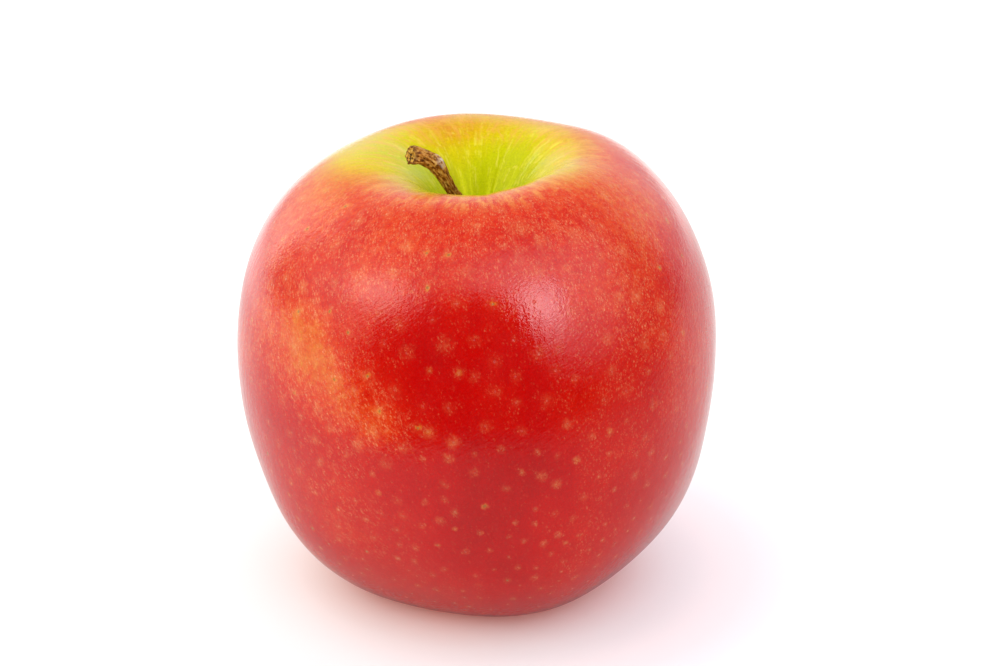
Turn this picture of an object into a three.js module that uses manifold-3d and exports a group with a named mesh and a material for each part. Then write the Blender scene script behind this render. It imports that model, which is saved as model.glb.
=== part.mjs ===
// A red apple as picked: the fruit, its woody stem in the stem cavity, and the dried calyx in
// the eye at the base. Millimetres, +Z up. The origin is on the table, on the fruit's core axis.
// Azimuth 0 points along -Y and grows towards +X.
import * as THREE from "three";
import { mergeVertices } from "three/addons/utils/BufferGeometryUtils.js";
import Module from "manifold-3d";

const wasm = await Module();
wasm.setup();

// ---- Driving dimensions -------------------------------------------------------------------

// The skin's section, half an apple from the stem's socket over the crest, the shoulder and the
// belly to the foot ring and up into the eye basin, as the control polygon (r, z) of a smooth
// cubic B-spline. The four points at z = 0 make the foot's flat ring.
const SECTION = [
  [1.6, 59.2], [3.2, 60.3], [6.0, 63.9], [9.8, 69.0], [14.8, 71.9], [20.9, 72.0],
  [27.7, 68.7], [34.3, 62.2], [38.8, 52.0], [40.3, 39.4], [38.8, 26.0], [34.8, 14.1],
  [28.7, 6.0], [22.8, 1.4], [18.4, 0], [16.2, 0], [14.0, 0], [11.8, 0],
  [9.2, 2.0], [7.0, 4.8], [4.9, 6.8], [2.9, 7.4],
];
const SECTION_STEPS = 52; // straight steps along the section
const ROUND_STEPS = 60; // steps round the fruit

// What makes the fruit lopsided: waves round it, each with its share of the radius, or its
// height in mm, and the azimuth of one of its tops in radians.
const OVAL = { waves: 2, size: 0.019, at: 0.14 };
const THREE_SIDED = { waves: 3, size: 0.011, at: 0.5 };
const BASE_LEAN = { waves: 1, size: 0.016, at: 0 };
const BASE_RIBS = { waves: 5, size: 0.025, at: 0.3 };
const CREST_TILT = { waves: 1, size: 0.97, at: 2.16 };
const CREST_SADDLE = { waves: 2, size: 0.43, at: 0.83 };
const CREST_RIBS = { waves: 5, size: 0.2, at: 0.84 };
const BASIN_RIBS = { waves: 5, size: 0.45, at: 0.3 };

// Where those waves fade in, each from nothing at its first radius or height to full at its
// second. The foot ring stays flat and round, and so do the rims of the two sockets.
const BODY_R = [12, 24];
const BASE_Z = [32, 8];
const BASE_R = [17.5, 26];
const CREST_Z = [58, 70];
const CREST_R = [4, 16];
const BASIN_Z = [10, 5];
const BASIN_INNER_R = [4, 6.5];
const BASIN_OUTER_R = [13, 9.5];

const GAP = 0.3; // between pieces that touch in the real fruit
const SOCKET_DEPTH = 3.6; // of the stem's hole under the cavity's floor
const EYE_DEPTH = 2.4; // of the calyx's hole over the basin's roof

// The stem's centre line, from its root in the socket to its cut end, as the control points of
// the same kind of spline.
const STEM_LINE = [
  [0, 0, SECTION[0][1] - SOCKET_DEPTH + GAP], [0.05, 0, 58.1], [-0.6, 0.1, 61.1],
  [-2.2, -0.2, 63.7], [-3.8, -0.5, 66.0], [-5.2, -1.8, 69.1], [-6.9, -3.2, 71.6],
  [-9.0, -5.1, 73.3], [-10.6, -6.2, 73.8],
];
const STEM_WAIST = 0.97; // radius of the lower half
const STEM_SHOULDER = 0.22; // added to the radius on the upper half
const STEM_KNOB = 0.3; // added again at the cut end
const STEM_ROOT_FLARE = 0.12; // added at the root
const STEM_SHOULDER_SPAN = [0.45, 0.75]; // shares of the length that these three rise over
const STEM_KNOB_SPAN = [0.8, 1];
const STEM_ROOT_SPAN = [0.3, 0];
const STEM_KNOB_LOBES = { waves: 3, size: 0.25, at: 0 }; // a share of the knob
const STEM_FLAT = { waves: 2, size: 0.04, at: 0 }; // the stem is not quite round
const STEM_TWIST = 3.5; // radians that its flat sides turn over its length
const STEM_SCAR = { size: 0.35, along: 0.74, spread: 0.06, side: 0.2 }; // a bud scar's bump
const STEM_STEPS = 36;
const STEM_SIDES = 14;

// The calyx: five sepals on a short plug.
const PLUG_RADIUS = SECTION.at(-1)[0] - GAP;
const PLUG_RISE = EYE_DEPTH - GAP;
const PLUG_SIDES = 20;
const PLUG_DROP = 0.9; // how far the plug stands below the basin's roof
const SEPALS = 5;
const SEPAL_CROSS_STEPS = 4;
const SEPAL_LONG_STEPS = 8;
const SEPAL_WIDTH = 3.8;
const SEPAL_THICK = 0.7;
const SEPAL_TURN = 0.5; // azimuth of the first sepal
// A sepal's middle line in (r, z), a cubic Bezier: it leans in under the plug, then curls out.
const SEPAL_LINE = [[1.9, 6.9], [3.2, 5.4], [0.6, 3.2], [5.6, 3.8]];
const SEPAL_CUP = 0.4; // how far a sepal's edges stand out from its middle line
const SEPAL_TAPER = { share: 0.86, power: 1.4 }; // of the width lost by the tip, and how late

// ---- Shared maths ----------------------------------------------------------------------------

const fade = ([from, to], x) => {
  const t = Math.min(1, Math.max(0, (x - from) / (to - from)));
  return t * t * (3 - 2 * t);
};

const wave = ({ waves, size, at }, azimuth) => size * Math.cos(waves * (azimuth - at));

// Points of a uniform cubic B-spline that starts and ends on its first and last control points.
function spline(control, steps) {
  const before = control[0].map((v, k) => 2 * v - control[1][k]);
  const after = control.at(-1).map((v, k) => 2 * v - control.at(-2)[k]);
  const p = [before, ...control, after];
  const spans = p.length - 3;
  return Array.from({ length: steps + 1 }, (_, step) => {
    const t = (spans * step) / steps;
    const i = Math.min(Math.floor(t), spans - 1);
    const u = t - i;
    const weights = [
      (1 - u) ** 3, 3 * u ** 3 - 6 * u ** 2 + 4, -3 * u ** 3 + 3 * u ** 2 + 3 * u + 1, u ** 3,
    ];
    return before.map((_, k) => weights.reduce((sum, w, j) => sum + w * p[i + j][k], 0) / 6);
  });
}

// ---- The fruit -------------------------------------------------------------------------------

// Where the point (r, z) of the plain section goes at an azimuth on the lopsided fruit.
function lopsided(r, z, azimuth) {
  const body = fade(BODY_R, r);
  const base = fade(BASE_Z, z) * fade(BASE_R, r);
  const crest = fade(CREST_Z, z) * fade(CREST_R, r);
  const basin = fade(BASIN_Z, z) * fade(BASIN_INNER_R, r) * fade(BASIN_OUTER_R, r);
  const swell = 1
    + body * (wave(OVAL, azimuth) + wave(THREE_SIDED, azimuth))
    + base * (wave(BASE_LEAN, azimuth) + wave(BASE_RIBS, azimuth));
  const lift = crest * (wave(CREST_TILT, azimuth) + wave(CREST_SADDLE, azimuth)
    + wave(CREST_RIBS, azimuth)) + basin * wave(BASIN_RIBS, azimuth);
  return [r * swell, z + lift];
}

function makeFruit() {
  const skin = spline(SECTION, SECTION_STEPS);
  const [socketR, socketTop] = SECTION[0];
  const [eyeR, eyeRoof] = SECTION.at(-1);
  const outline = [
    [0, socketTop - SOCKET_DEPTH], [socketR, socketTop - SOCKET_DEPTH],
    ...skin,
    [eyeR, eyeRoof + EYE_DEPTH], [0, eyeRoof + EYE_DEPTH],
  ].reverse().map(([r, z]) => new THREE.Vector2(r, z));
  const geometry = new THREE.LatheGeometry(outline, ROUND_STEPS).rotateX(Math.PI / 2);
  const at = geometry.attributes.position;
  for (let i = 0; i < at.count; i += 1) {
    const plainR = Math.hypot(at.getX(i), at.getY(i));
    const azimuth = Math.atan2(at.getX(i), -at.getY(i));
    const [r, z] = lopsided(plainR, at.getZ(i), azimuth);
    at.setXYZ(i, r * Math.sin(azimuth), -r * Math.cos(azimuth), z);
  }
  return geometry;
}

// ---- The stem --------------------------------------------------------------------------------

function stemRadius(along, side) {
  const away = (along - STEM_SCAR.along) / STEM_SCAR.spread;
  const facing = fade([0, 1], Math.cos(side - STEM_SCAR.side));
  return STEM_WAIST
    + STEM_SHOULDER * fade(STEM_SHOULDER_SPAN, along)
    + STEM_KNOB * fade(STEM_KNOB_SPAN, along) * (1 + wave(STEM_KNOB_LOBES, side))
    + STEM_ROOT_FLARE * fade(STEM_ROOT_SPAN, along)
    + STEM_SCAR.size * Math.exp(-away * away) * facing
    + wave(STEM_FLAT, side + STEM_TWIST * along);
}

function makeStem() {
  const line = spline(STEM_LINE, STEM_STEPS).map((p) => new THREE.Vector3(...p));
  // A unit cylinder, its y from -0.5 at the root to 0.5 at the cut end, is bent along the line.
  const geometry = new THREE.CylinderGeometry(1, 1, 1, STEM_SIDES, STEM_STEPS);
  const at = geometry.attributes.position;
  for (let i = 0; i < at.count; i += 1) {
    const along = at.getY(i) + 0.5;
    const step = Math.round(along * STEM_STEPS);
    const ahead = line[Math.min(step + 1, STEM_STEPS)].clone().sub(line[Math.max(step - 1, 0)]);
    const across = new THREE.Vector3(0, 1, 0).cross(ahead).normalize();
    const up = across.clone().cross(ahead).normalize();
    const side = Math.atan2(at.getX(i), at.getZ(i));
    const reach = Math.hypot(at.getX(i), at.getZ(i)) * stemRadius(along, side);
    const moved = line[step].clone()
      .addScaledVector(across, reach * Math.sin(side))
      .addScaledVector(up, reach * Math.cos(side));
    at.setXYZ(i, ...moved);
  }
  return geometry;
}

// ---- The calyx -------------------------------------------------------------------------------

const solidOf = (geometry) => {
  geometry.deleteAttribute("normal").deleteAttribute("uv");
  const merged = mergeVertices(geometry, 1e-3);
  return new wasm.Manifold(new wasm.Mesh({
    numProp: 3,
    vertProperties: merged.attributes.position.array,
    triVerts: new Uint32Array(merged.index.array),
  }));
};

const geometryOf = (solid) => {
  const mesh = solid.getMesh();
  return new THREE.BufferGeometry()
    .setAttribute("position", new THREE.BufferAttribute(mesh.vertProperties, 3))
    .setIndex(new THREE.BufferAttribute(mesh.triVerts, 1));
};

// One sepal at azimuth 0: a box bent along the middle line, tapered and cupped.
function makeSepal() {
  const line = new THREE.CubicBezierCurve(...SEPAL_LINE.map((p) => new THREE.Vector2(...p)));
  const geometry = new THREE.BoxGeometry(1, 1, 1, SEPAL_CROSS_STEPS, SEPAL_LONG_STEPS, 1);
  const at = geometry.attributes.position;
  for (let i = 0; i < at.count; i += 1) {
    const along = at.getY(i) + 0.5;
    const across = 2 * at.getX(i);
    const centre = line.getPoint(along);
    const ahead = line.getTangent(along);
    const width = (SEPAL_WIDTH / 2) * (1 - SEPAL_TAPER.share * along ** SEPAL_TAPER.power);
    const out = SEPAL_CUP * across * across * (1 - along) + SEPAL_THICK * at.getZ(i);
    at.setXYZ(i, -across * width, -(centre.x - out * ahead.y), centre.y + out * ahead.x);
  }
  return geometry;
}

function makeCalyx() {
  const top = SECTION.at(-1)[1] + PLUG_RISE;
  const bottom = SECTION.at(-1)[1] - PLUG_DROP;
  const plug = new THREE.CylinderGeometry(PLUG_RADIUS, PLUG_RADIUS, top - bottom, PLUG_SIDES)
    .rotateX(Math.PI / 2).translate(0, 0, (top + bottom) / 2);
  let solid = solidOf(plug);
  for (let k = 0; k < SEPALS; k += 1) {
    const turned = makeSepal().rotateZ(SEPAL_TURN + (2 * Math.PI * k) / SEPALS);
    solid = solid.add(solidOf(turned));
  }
  return geometryOf(solid);
}

// ---- The assembly ----------------------------------------------------------------------------

const SKIN_MATERIAL = new THREE.MeshStandardMaterial({ color: 0xc4201c, roughness: 0.3 });
const BARK_MATERIAL = new THREE.MeshStandardMaterial({ color: 0x6b4423, roughness: 0.85 });
const SEPAL_MATERIAL = new THREE.MeshStandardMaterial({ color: 0x6e5a3a, roughness: 0.9 });

const apple = new THREE.Group();
for (const [name, geometry, material] of [
  ["fruit", makeFruit(), SKIN_MATERIAL],
  ["stem", makeStem(), BARK_MATERIAL],
  ["calyx", makeCalyx(), SEPAL_MATERIAL],
]) {
  const mesh = new THREE.Mesh(geometry, material);
  mesh.name = name;
  apple.add(mesh);
}

export default apple;
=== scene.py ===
"""A red apple: the finished skin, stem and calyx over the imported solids, in metres, +Z up.

Azimuth 0 points along -Y, towards the camera, and grows towards +X. The apple is written in
millimetres, which make_object turns into metres. The camera, sheets and lamp are in metres."""

import math

import bpy
import numpy as np
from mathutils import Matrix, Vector
from mathutils.kdtree import KDTree


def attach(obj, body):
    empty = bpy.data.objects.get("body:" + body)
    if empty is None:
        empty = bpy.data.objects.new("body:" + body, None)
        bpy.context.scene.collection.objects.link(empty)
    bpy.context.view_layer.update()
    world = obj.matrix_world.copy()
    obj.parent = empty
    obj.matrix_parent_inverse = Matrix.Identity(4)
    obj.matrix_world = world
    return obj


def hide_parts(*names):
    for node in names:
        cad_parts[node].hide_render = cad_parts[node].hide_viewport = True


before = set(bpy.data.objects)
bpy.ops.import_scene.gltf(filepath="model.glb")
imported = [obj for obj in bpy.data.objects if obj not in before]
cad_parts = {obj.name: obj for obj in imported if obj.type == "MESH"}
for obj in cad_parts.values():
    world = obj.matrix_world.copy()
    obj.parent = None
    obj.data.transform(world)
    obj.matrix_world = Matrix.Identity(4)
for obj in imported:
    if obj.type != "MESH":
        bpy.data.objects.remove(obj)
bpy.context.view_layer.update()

MM = 0.001
SEED = 7
rng = np.random.default_rng(SEED)

# ---- Camera ----

CAMERA_AT = Vector((0, -0.46025, 0.23137))
CAMERA_AIM = Vector((0.00337, 0, 0.04143))
FRAME_WIDTH, FRAME_HEIGHT = 1000, 666  # pixels
SENSOR_WIDTH = 36.0
LENS = 109.8


def make_camera():
    data = bpy.data.cameras.new("camera")
    data.sensor_width = SENSOR_WIDTH
    data.lens = LENS
    data.clip_start = 0.01
    camera = bpy.data.objects.new("camera", data)
    camera.location = CAMERA_AT
    camera.rotation_euler = (CAMERA_AIM - CAMERA_AT).to_track_quat("-Z", "Y").to_euler()
    bpy.context.scene.collection.objects.link(camera)
    bpy.context.scene.camera = camera


def pixel_ray(x, y):
    """The direction from the camera through a pixel of the 1000 x 666 frame."""
    ahead = (CAMERA_AIM - CAMERA_AT).normalized()
    right = ahead.cross(Vector((0, 0, 1))).normalized()
    up = right.cross(ahead)
    pixel = SENSOR_WIDTH / LENS / FRAME_WIDTH
    return (ahead + right * (x - FRAME_WIDTH / 2) * pixel
            + up * (FRAME_HEIGHT / 2 - y) * pixel).normalized()


# ---- Shared maths ----

def fade(span, x):
    """0 at the span's first value to 1 at its second, with soft ends."""
    t = np.clip((x - span[0]) / (span[1] - span[0]), 0, 1)
    return t * t * (3 - 2 * t)


def lookup(table, at):
    """What a table of (place, value) says at a place, in straight lines between its rows."""
    return np.interp(at, *np.transpose(table))


def wave(waves, size, at, azimuth):
    return size * np.cos(waves * (azimuth - at))


def spline(control, count):
    """Points of a uniform cubic B-spline that starts and ends on its end control points."""
    p = np.array(control, float)
    p = np.vstack([2 * p[0] - p[1], p, 2 * p[-1] - p[-2]])
    t = np.linspace(0, len(p) - 3, count)
    i = np.minimum(t.astype(int), len(p) - 4)
    u = (t - i)[:, None]
    return ((1 - u) ** 3 * p[i] + (3 * u**3 - 6 * u**2 + 4) * p[i + 1]
            + (-3 * u**3 + 3 * u**2 + 3 * u + 1) * p[i + 2] + u**3 * p[i + 3]) / 6


def unit(vectors):
    return vectors / np.linalg.norm(vectors, axis=-1, keepdims=True)


def evenly(line, count):
    """The same line with count points at even distances, and its length."""
    steps = np.linalg.norm(np.diff(line, axis=0), axis=1)
    run = np.concatenate([[0], np.cumsum(steps)])
    at = np.linspace(0, run[-1], count)
    return np.stack([np.interp(at, run, line[:, k]) for k in range(line.shape[1])], 1), run[-1]


def round_angles(count):
    return np.linspace(0, 2 * np.pi, count, endpoint=False)


def round_axis(angle, out, height, aside=0.0):
    """Points that lie out and aside from the axis in an angle's direction."""
    x = aside * np.cos(angle) + out * np.sin(angle)
    y = aside * np.sin(angle) - out * np.cos(angle)
    return np.stack(np.broadcast_arrays(x, y, height), -1)


def closed_faces(rows, columns):
    """Quads over rows of points that close round on themselves, and fans to two end points."""
    row, column = np.meshgrid(np.arange(rows - 1), np.arange(columns), indexing="ij")
    after = (column + 1) % columns
    quads = np.stack([row * columns + column, (row + 1) * columns + column,
                      (row + 1) * columns + after, row * columns + after], -1)
    first, last, end = rows * columns, rows * columns + 1, (rows - 1) * columns
    fans = []
    for k in range(columns):
        after = (k + 1) % columns
        fans += [[first, k, after], [last, end + after, end + k]]
    return quads.reshape(-1, 4).tolist() + fans


def joined(parts):
    """Several (points, faces) as one."""
    points, faces, start = [], [], 0
    for some_points, some_faces in parts:
        points.append(np.asarray(some_points, float))
        faces += [[start + v for v in face] for face in some_faces]
        start += len(some_points)
    return np.vstack(points), faces


def add_mesh(name, points, faces, material):
    mesh = bpy.data.meshes.new(name)
    mesh.from_pydata(points, [], faces)
    mesh.materials.append(material)
    piece = bpy.data.objects.new(name, mesh)
    bpy.context.scene.collection.objects.link(piece)
    return piece


def make_object(name, points, faces, slot, material):
    """A smooth mesh of points in millimetres that rides on the part's one body."""
    piece = add_mesh(name, (np.asarray(points) * MM).tolist(), faces, material)
    piece.data.shade_smooth()
    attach(piece, "root")
    return piece


def store(mesh, name, values, domain="POINT"):
    """Keeps numbers or vectors on a mesh for its material to read."""
    values = np.asarray(values, np.float32)
    kind, key = ("FLOAT_VECTOR", "vector") if values.ndim > 1 else ("FLOAT", "value")
    mesh.attributes.new(name, kind, domain).data.foreach_set(key, values.ravel())


class Look:
    """Builds a node tree. Each method adds nodes and returns an output socket."""

    def __init__(self, tree, material=None):
        self.tree, self.material = tree, material
        tree.nodes.clear()

    def node(self, kind, inputs=(), **settings):
        node = self.tree.nodes.new(kind)
        for name, value in settings.items():
            setattr(node, name, value)
        for key, value in dict(inputs).items():
            socket = node.inputs[key]
            if isinstance(value, bpy.types.NodeSocket):
                self.tree.links.new(value, socket)
            else:
                socket.default_value = value
        return node

    def math(self, operation, first, *others):
        """The operation on two numbers, or from left to right on more."""
        for other in others or (0.0,):
            first = self.node("ShaderNodeMath", {0: first, 1: other},
                              operation=operation).outputs[0]
        return first

    def times(self, *factors):
        return self.math("MULTIPLY", *factors)

    def plus(self, *terms):
        return self.math("ADD", *terms)

    def scaled(self, value, low, high, to_low=0.0, to_high=1.0, kind="SMOOTHSTEP"):
        """Low to high becomes to_low to to_high, and no further."""
        inputs = {"Value": value, "From Min": low, "From Max": high,
                  "To Min": to_low, "To Max": to_high}
        return self.node("ShaderNodeMapRange", inputs, interpolation_type=kind).outputs[0]

    def spread(self, noise, low, high):
        """A soft noise drawn out evenly from low to high."""
        return self.scaled(noise, 0.3, 0.7, low, high, "LINEAR")

    def mix(self, share, a, b):
        """Colours a and b, b by its share."""
        return self.node("ShaderNodeMix", {0: share, 6: a, 7: b}, data_type="RGBA").outputs[2]

    def number(self, name):
        return self.node("ShaderNodeAttribute", attribute_name=name).outputs["Fac"]

    def vector(self, name):
        return self.node("ShaderNodeAttribute", attribute_name=name).outputs["Vector"]

    def vectors(self, operation, first, second=(0, 0, 0), output="Vector"):
        return self.node("ShaderNodeVectorMath", {0: first, 1: second},
                         operation=operation).outputs[output]

    def stretched(self, vector, by):
        return self.vectors("MULTIPLY", vector, by)

    def length(self, vector):
        return self.vectors("LENGTH", vector, output="Value")

    def along(self, vector, direction):
        """How far a vector reaches in a direction."""
        return self.vectors("DOT_PRODUCT", vector, direction, "Value")

    def place(self):
        """Where a point is on the object, in millimetres."""
        coordinates = self.node("ShaderNodeTexCoord").outputs["Object"]
        return self.stretched(coordinates, (1 / MM,) * 3)

    def noise(self, vector, size, detail=2.0, roughness=0.5, stretch=None):
        """Soft noise about 0.5, its features about size millimetres across."""
        if stretch:
            vector = self.stretched(vector, stretch)
        inputs = {"Vector": vector, "Scale": 1 / size, "Detail": detail, "Roughness": roughness}
        return self.node("ShaderNodeTexNoise", inputs).outputs["Fac"]

    def specks(self, vector, spacing, radius, edge):
        """Round dots at random places, 1 in their middles, and two random numbers for each."""
        dots = self.node("ShaderNodeTexVoronoi", {"Vector": vector, "Scale": 1 / spacing})
        shown = self.scaled(dots.outputs["Distance"], (radius + edge) / spacing,
                            (radius - edge) / spacing)
        draws = self.node("ShaderNodeSeparateColor", {0: dots.outputs["Color"]}).outputs
        return shown, draws[0], draws[1]

    def ramp(self, value, stops):
        """The colours of (position, colour) stops, by a value."""
        node = self.node("ShaderNodeValToRGB", {0: value})
        stop_list = node.color_ramp.elements
        while len(stop_list) < len(stops):
            stop_list.new(1.0)
        for element, (position, colour) in zip(stop_list, stops):
            element.position = position
            element.color = (*colour, 1.0)
        return node.outputs[0]

    def levels(self, value, stops):
        """A number by a value, from (position, number) stops."""
        grey = self.ramp(value, [(at, (level,) * 3) for at, level in stops])
        return self.node("ShaderNodeSeparateColor", {0: grey}).outputs[0]

    def bump(self, height, depth, strength=1.0, normal=None):
        """A bump whose height of 1 stands depth millimetres out."""
        inputs = {"Height": height, "Distance": depth * MM, "Strength": strength}
        if normal is not None:
            inputs["Normal"] = normal
        return self.node("ShaderNodeBump", inputs).outputs[0]


def new_look(name):
    """The empty node tree of a new material."""
    material = bpy.data.materials.new(name)
    material.use_nodes = True
    return Look(material.node_tree, material)


def finished(look, surface):
    look.node("ShaderNodeOutputMaterial", {"Surface": surface.outputs[0]})
    return look.material


def glossy(look, **inputs):
    """The material with a Principled surface. Keys are input names with _ for spaces."""
    named = {key.replace("_", " "): value for key, value in inputs.items()}
    return finished(look, look.node("ShaderNodeBsdfPrincipled", named))


def matt(look, colour):
    return finished(look, look.node("ShaderNodeBsdfDiffuse", {"Color": colour}))


# ---- The fruit's shape, in millimetres, as in the part's source ----

SECTION = [
    (1.6, 59.2), (3.2, 60.3), (6.0, 63.9), (9.8, 69.0), (14.8, 71.9), (20.9, 72.0),
    (27.7, 68.7), (34.3, 62.2), (38.8, 52.0), (40.3, 39.4), (38.8, 26.0), (34.8, 14.1),
    (28.7, 6.0), (22.8, 1.4), (18.4, 0), (16.2, 0), (14.0, 0), (11.8, 0),
    (9.2, 2.0), (7.0, 4.8), (4.9, 6.8), (2.9, 7.4),
]
# The skin goes on past the section's ends, until it closes on the stem and on the calyx.
INTO_SOCKET = [(0.0, 56.6), (0.75, 57.2), (1.0, 58.4)]
INTO_EYE = [(2.2, 8.2), (0.0, 8.8)]

OVAL = (2, 0.019, 0.14)  # waves round the fruit, size and the azimuth of a top
THREE_SIDED = (3, 0.011, 0.5)
BASE_LEAN = (1, 0.016, 0)
BASE_RIBS = (5, 0.025, 0.3)
CREST_TILT = (1, 0.97, 2.16)
CREST_SADDLE = (2, 0.43, 0.83)
CREST_RIBS = (5, 0.2, 0.84)
BASIN_RIBS = (5, 0.45, 0.3)
BODY_R = (12, 24)  # radii and heights between which the waves fade in
BASE_Z = (32, 8)
BASE_R = (17.5, 26)
CREST_Z = (58, 70)
CREST_R = (4, 16)
BASIN_Z = (10, 5)
BASIN_INNER_R = (4, 6.5)
BASIN_OUTER_R = (13, 9.5)

SECTION_POINTS = 4000  # of the fine line that the rows are laid on
SKIN_ROWS = 298
SKIN_COLUMNS = 320
TOP_SIDE = 30.0  # the section above this height is the crest, shoulder and cavity

# Low relief on the grown surface: soft lumps, and the furrows that run down the stem cavity.
LUMPS = 26
LUMP_LENGTHS = (9.0, 34.0)
LUMP_HEIGHT = 0.022
LUMPS_IN_R, LUMPS_IN_Z = (2, 12), (0.0, 6.0)  # where they fade in
FURROWS = ((9, 0.1), (14, 0.07), (23, 0.035))  # how many round the cavity, and how deep
FURROW_IN = (2.0, 6.0)
FURROW_OUT = (19.0, 10.0)


def lopsided(r, z, azimuth):
    """Where the plain section's point goes at an azimuth."""
    base = fade(BASE_Z, z) * fade(BASE_R, r)
    crest = fade(CREST_Z, z) * fade(CREST_R, r)
    basin = fade(BASIN_Z, z) * fade(BASIN_INNER_R, r) * fade(BASIN_OUTER_R, r)
    swell = 1 + fade(BODY_R, r) * (wave(*OVAL, azimuth) + wave(*THREE_SIDED, azimuth))
    swell = swell + base * (wave(*BASE_LEAN, azimuth) + wave(*BASE_RIBS, azimuth))
    lift = crest * (wave(*CREST_TILT, azimuth) + wave(*CREST_SADDLE, azimuth)
                    + wave(*CREST_RIBS, azimuth)) + basin * wave(*BASIN_RIBS, azimuth)
    return r * swell, z + lift


def soft_lumps(points):
    """Smooth random heights, the sum of many plain waves in random directions."""
    total = np.zeros(points.shape[:-1])
    for _ in range(LUMPS):
        toward = rng.normal(size=3)
        toward /= np.linalg.norm(toward)
        length = rng.uniform(*LUMP_LENGTHS)
        total += length / LUMP_LENGTHS[1] * np.cos(
            points @ toward * 2 * np.pi / length + rng.uniform(0, 2 * np.pi))
    return total


def outward(points):
    """Unit normals of a closed-round grid of points."""
    after = np.roll(points, -1, 1) - np.roll(points, 1, 1)
    along = np.gradient(points, axis=0)
    normal = np.cross(along, after)
    return normal / (np.linalg.norm(normal, axis=-1, keepdims=True) + 1e-9)


def skin_points():
    """Rings of the skin's points and the two that close them, with each ring's arc length."""
    line = spline(INTO_SOCKET + SECTION + INTO_EYE, SECTION_POINTS)
    line, length = evenly(line, SKIN_ROWS + 2)
    azimuth = round_angles(SKIN_COLUMNS)[None, :]
    r, z = line[1:-1, :1], line[1:-1, 1:]
    wide, high = lopsided(r, z, azimuth)
    points = round_axis(azimuth, wide, high)
    grown = fade(LUMPS_IN_R, r) * fade(LUMPS_IN_Z, z)
    relief = LUMP_HEIGHT * soft_lumps(points) * grown
    cavity = fade(FURROW_IN, r) * fade(FURROW_OUT, r) * fade((TOP_SIDE, TOP_SIDE + 1), z)
    for count, depth in FURROWS:
        relief = relief + cavity * depth * np.cos(count * azimuth + rng.uniform(0, 6.3))
    points = points + outward(points) * relief[..., None]
    ends = [(0, 0, line[0, 1]), (0, 0, line[-1, 1])]
    return points, ends, np.linspace(0, length, SKIN_ROWS + 2)[1:-1], azimuth[0]


# ---- Colour zones of the skin ----

# Ripeness runs from 0, the green ground colour, over yellow and orange to 1, the deepest red.
# It grows with the arc length from the socket, counted from where the yellow ends.
YELLOW_REACH = 20.5  # arc length where the yellow ends
YELLOW_SPILLS = (  # azimuth and width in degrees, and how much further it reaches there
    (165, 62, 6.5), (-108, 31, 10.0), (50, 22, 2.5), (0, 50, -2.5), (-150, 16, -1.5),
)
RIPENING = (  # arc length past the yellow's end, and the ripeness there
    (-16, 0.04), (-10, 0.16), (-5, 0.24), (-1, 0.32), (1.5, 0.42), (4.5, 0.55), (7.5, 0.67),
    (12, 0.76), (20, 0.85), (30, 0.92), (50, 0.94), (80, 0.94),
)
EYE_RIPENESS = (  # arc length, and the share of the ripeness that is kept there
    (94, 1.0), (110, 0.94), (122, 0.75), (132, 0.42), (137, 0.3),
)
FRONT_PATCHES = (  # pixel, radius in mm, and how much less ripe the patch's middle is
    (300, 345, 9.0, 0.13), (306, 328, 4.0, 0.1), (314, 355, 3.5, 0.08), (332, 374, 3.0, 0.07),
    (290, 352, 3.0, 0.06), (326, 388, 7.5, 0.12), (352, 414, 6.5, 0.12), (376, 420, 3.0, 0.05),
    (392, 438, 6.0, 0.09), (440, 448, 5.0, 0.05), (335, 262, 11.0, 0.08), (300, 450, 14.0, 0.08),
    (420, 222, 8.0, 0.04), (628, 212, 8.0, 0.08), (664, 336, 8.0, 0.07), (540, 226, 8.0, 0.04),
    (640, 460, 16.0, 0.07), (640, 300, 10.0, 0.05), (355, 500, 10.0, 0.04), (256, 330, 10.0, 0.18),
    (706, 365, 9.0, 0.11), (575, 295, 8.0, 0.09), (375, 285, 7.0, 0.09), (625, 300, 9.0, 0.09),
    (308, 198, 9.0, 0.18), (640, 195, 9.0, 0.13), (470, 268, 8.0, 0.05), (452, 140, 5.0, -0.08),
    (432, 150, 3.5, -0.05), (440, 122, 5.0, -0.05), (475, 119, 5.0, -0.07), (515, 121, 5.0, -0.06),
    (560, 128, 6.0, -0.05), (428, 191, 3.0, 0.08), (350, 535, 12.0, 0.08), (440, 596, 12.0, 0.07),
    (275, 295, 9.0, 0.06), (560, 590, 14.0, 0.07), (600, 320, 7.0, -0.04), (620, 370, 9.0, 0.04),
    (560, 520, 16.0, 0.03), (290, 320, 2.5, 0.08), (298, 372, 2.5, 0.07), (318, 330, 2.5, 0.08),
    (340, 398, 2.5, 0.07), (372, 436, 3.0, 0.06), (500, 565, 14.0, -0.07), (500, 492, 11.0, -0.04),
)
OTHER_PATCHES = 14  # drawn at random on the sides and the back
OTHER_PATCH_SIZE = (4.0, 9.0)
OTHER_PATCH_AMOUNT = (0.05, 0.17)
OTHER_PATCH_ARCS = (35, 105)
BACK_FROM = math.radians(75)  # azimuth where what the camera sees ends
POINT_GAP = 0.6  # mm, about as far as the skin's points lie from each other

# ---- Lenticels, the pale pores of the skin ----

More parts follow.
